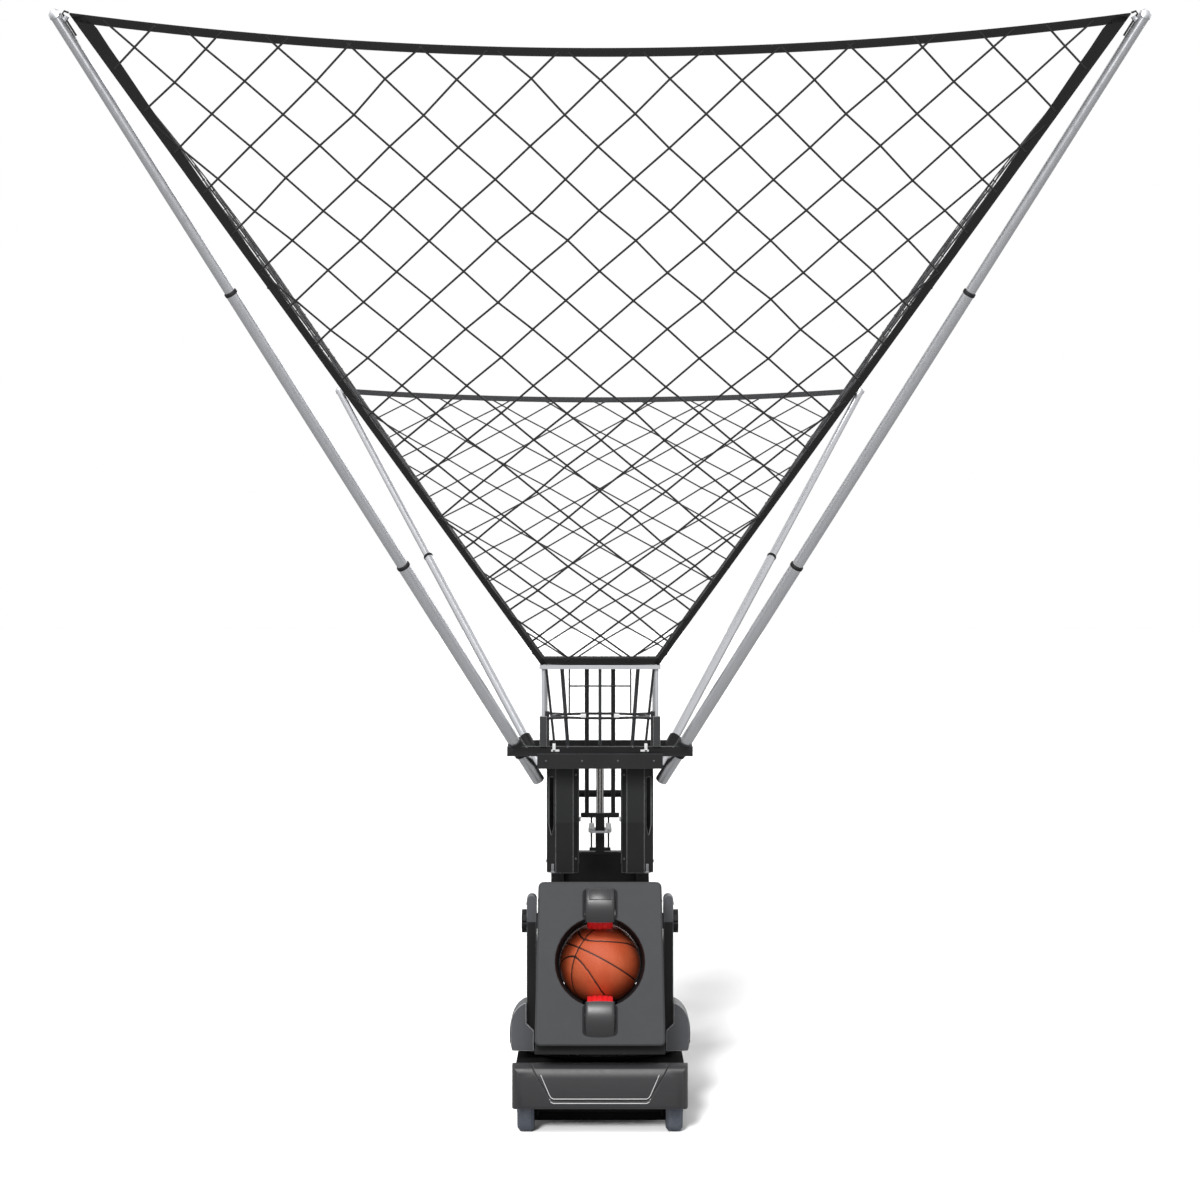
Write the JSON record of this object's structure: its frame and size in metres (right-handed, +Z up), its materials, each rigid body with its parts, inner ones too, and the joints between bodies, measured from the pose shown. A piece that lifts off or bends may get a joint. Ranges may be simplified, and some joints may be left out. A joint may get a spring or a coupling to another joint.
{
  "type": "basketball shooting machine",
  "caption": "Wheeled basketball shooting machine: net funnel on telescopic poles over a wire cage, a feed column and a tilting two-wheel launching head on a turntable",
  "frame": {"origin": "on the floor under the head's turning axis, which is the middle of the whole machine seen from above", "axes": "+Z up, -Y towards the shooter, +X to the right of someone who faces the machine"},
  "size_m": [2.883, 2.567, 3.1455],
  "materials": {
    "black_paint": "satin black powder coat",
    "grey_paint": "satin grey powder coat",
    "dark_plastic": "fine grained moulding",
    "red_rubber": "matt",
    "red_plastic": "gloss",
    "grey_rubber": "matt",
    "zinc_steel": "zinc plated",
    "aluminium": "satin anodised",
    "ball_cover": "pebbled",
    "net_cord": "knotted cord with sewn bands"
  },
  "bodies": {
    "base": {"chassis": "black_paint", "front_bumper": "dark_plastic", "deck_cover": "black_paint", "rear_panel": "dark_plastic", "bearing_ring": "zinc_steel", "mast_right": "black_paint", "mast_left": "black_paint", "control_box": "dark_plastic", "push_handle": "black_paint", "column_right": "grey_paint", "column_left": "grey_paint", "platform": "black_paint", "front_arm": "black_paint", "rear_arm": "black_paint", "top_frame": "grey_paint", "basket": "grey_paint", "guide_frame": "black_paint", "front_pole_lower_right": "aluminium", "front_pole_lower_left": "aluminium", "front_pole_middle_right": "aluminium", "front_pole_middle_left": "aluminium", "front_pole_upper_right": "aluminium", "front_pole_upper_left": "aluminium", "rear_pole_lower_right": "aluminium", "rear_pole_lower_left": "aluminium", "rear_pole_upper_right": "aluminium", "rear_pole_upper_left": "aluminium", "net_front": "net_cord", "net_rear": "net_cord", "net_side_right": "net_cord", "net_side_left": "net_cord"},
    "turret": {"turntable": "black_paint", "yoke_arm_right": "black_paint", "yoke_arm_left": "black_paint", "yoke_cover_right": "grey_paint", "yoke_cover_left": "grey_paint"},
    "knob_right": {"tilt_knob_right": "black_paint"},
    "knob_left": {"tilt_knob_left": "black_paint"},
    "head": {"head_face": "dark_plastic", "head_shell": "dark_plastic", "hood_upper": "dark_plastic", "hood_lower": "dark_plastic", "feed_tray": "black_paint", "wheel_motor_upper": "black_paint", "wheel_motor_lower": "black_paint"},
    "upper_wheel": {"throwing_wheel_upper": "red_rubber"},
    "lower_wheel": {"throwing_wheel_lower": "red_rubber"},
    "pusher": {"pusher": "black_paint"},
    "ball": {"ball": "ball_cover"},
    "front_wheel_right": {"front_wheel_right": "grey_rubber"},
    "front_wheel_left": {"front_wheel_left": "grey_rubber"},
    "caster_right": {"caster_fork_right": "zinc_steel"},
    "caster_left": {"caster_fork_left": "zinc_steel"},
    "caster_wheel_right": {"caster_wheel_right": "grey_rubber"},
    "caster_wheel_left": {"caster_wheel_left": "grey_rubber"},
    "rocker": {"power_rocker": "red_plastic"},
    "screw": {"lead_screw": "zinc_steel"},
    "gate": {"gate_shuttle": "zinc_steel"}
  },
  "joints": [
    {"name": "yaw", "type": "hinge", "parent": "base", "child": "turret", "pos_m": [0, 0, 0.2046], "axis": [0, 0, 1], "range_deg": [-90, 90]},
    {"name": "tilt", "type": "hinge", "parent": "turret", "child": "head", "pos_m": [0, -0.15, 0.612], "axis": [-1, 0, 0], "range_deg": [-10, 12]},
    {"name": "spin_upper", "type": "hinge", "parent": "head", "child": "upper_wheel", "pos_m": [0, -0.31549, 0.67317], "axis": [1, 0, 0], "continuous": true},
    {"name": "spin_lower", "type": "hinge", "parent": "head", "child": "lower_wheel", "pos_m": [0, -0.37193, 0.3531], "axis": [1, 0, 0], "continuous": true},
    {"name": "push", "type": "slide", "parent": "head", "child": "pusher", "axis": [0, 0.9848, -0.1736], "range_m": [0, 0.25]},
    {"name": "ball_feed", "type": "slide", "parent": "head", "child": "ball", "axis": [0, 0.9848, -0.1736], "range_m": [0, 0.25]},
    {"name": "knob_right_turn", "type": "hinge", "parent": "turret", "child": "knob_right", "pos_m": [0.2328, -0.15, 0.612], "axis": [1, 0, 0], "range_deg": [-180, 180]},
    {"name": "knob_left_turn", "type": "hinge", "parent": "turret", "child": "knob_left", "pos_m": [-0.2328, -0.15, 0.612], "axis": [1, 0, 0], "range_deg": [-180, 180]},
    {"name": "front_roll_right", "type": "hinge", "parent": "base", "child": "front_wheel_right", "pos_m": [0.223, -0.3, 0.065], "axis": [1, 0, 0], "continuous": true},
    {"name": "front_roll_left", "type": "hinge", "parent": "base", "child": "front_wheel_left", "pos_m": [-0.223, -0.3, 0.065], "axis": [1, 0, 0], "continuous": true},
    {"name": "swivel_right", "type": "hinge", "parent": "base", "child": "caster_right", "pos_m": [0.148, 0.285, 0.0957], "axis": [0, 0, 1], "continuous": true},
    {"name": "swivel_left", "type": "hinge", "parent": "base", "child": "caster_left", "pos_m": [-0.148, 0.285, 0.0957], "axis": [0, 0, 1], "continuous": true},
    {"name": "caster_roll_right", "type": "hinge", "parent": "caster_right", "child": "caster_wheel_right", "pos_m": [0.148, 0.311, 0.038], "axis": [1, 0, 0], "continuous": true},
    {"name": "caster_roll_left", "type": "hinge", "parent": "caster_left", "child": "caster_wheel_left", "pos_m": [-0.148, 0.311, 0.038], "axis": [1, 0, 0], "continuous": true},
    {"name": "power_rock", "type": "hinge", "parent": "base", "child": "rocker", "pos_m": [0.06, 0.4118, 0.647], "axis": [1, 0, 0], "range_deg": [0, 12]},
    {"name": "gate_lift", "type": "slide", "parent": "base", "child": "gate", "axis": [0, 0, 1], "range_m": [-0.03, 0.03]},
    {"name": "screw_turn", "type": "hinge", "parent": "base", "child": "screw", "pos_m": [0, 0.212, 1.1], "axis": [0, 0, 1], "range_deg": [-540, 540]}
  ],
  "couplings": [
    {"joint": "ball_feed", "follows": "push", "ratio": 1},
    {"joint": "screw_turn", "follows": "gate_lift", "rad_per_m": 314.16}
  ]
}
